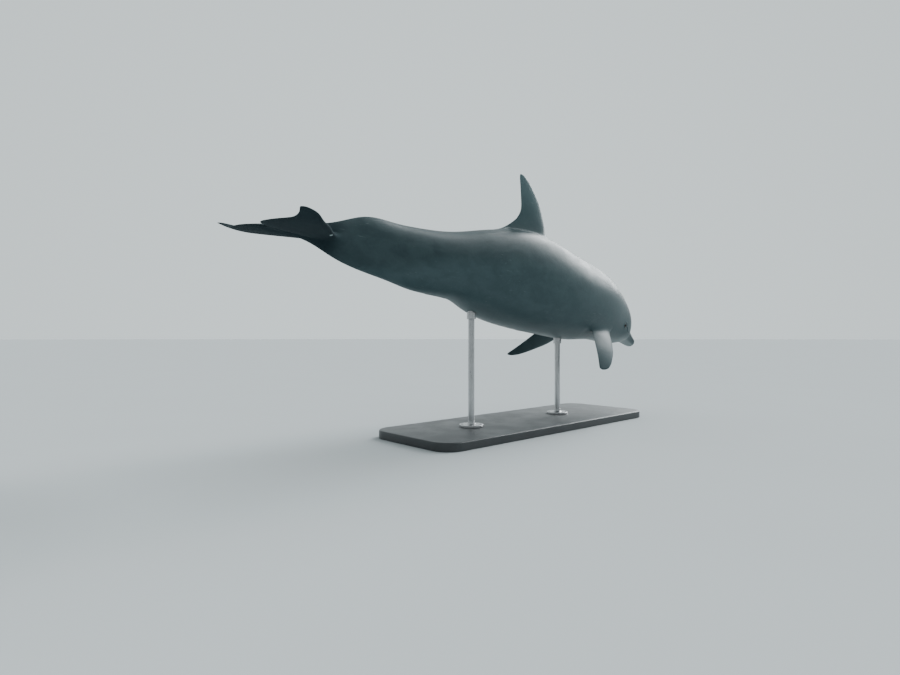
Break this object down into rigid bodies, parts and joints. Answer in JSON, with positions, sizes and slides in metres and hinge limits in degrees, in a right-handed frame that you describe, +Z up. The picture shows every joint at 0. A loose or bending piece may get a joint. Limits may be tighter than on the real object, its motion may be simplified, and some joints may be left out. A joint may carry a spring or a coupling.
{
  "type": "bottlenose dolphin display model",
  "caption": "Life-size still model of an adult bottlenose dolphin in a nose-down glide, held on a flat base by upright steel rods.",
  "frame": {"origin": "centre of the underside of the stand's base", "axes": "+X the way the dolphin heads, +Y to its left, +Z up"},
  "size_m": [2.4784, 0.6753, 1.23],
  "materials": {
    "skin_dark": "satin slate grey skin",
    "skin_pale": "satin grey skin, paler than the back",
    "eye": "wet dark brown",
    "stand_paint": "satin charcoal paint",
    "stand_steel": "brushed"
  },
  "bodies": {
    "root": {"upper_jaw": "skin_dark", "lower_jaw": "skin_pale", "head": "skin_dark", "neck": "skin_dark", "chest": "skin_dark", "midriff": "skin_dark", "loin": "skin_dark", "tail_stock_front": "skin_dark", "tail_stock_rear": "skin_dark", "tail_root": "skin_dark", "dorsal_fin": "skin_dark", "flipper_left": "skin_dark", "flipper_right": "skin_dark", "fluke_left": "skin_dark", "fluke_right": "skin_dark", "eye_left": "eye", "eye_right": "eye", "stand_base": "stand_paint", "stand_flange_front": "stand_steel", "stand_flange_rear": "stand_steel", "stand_rod_front": "stand_steel", "stand_rod_rear": "stand_steel"}
  },
  "joints": []
}
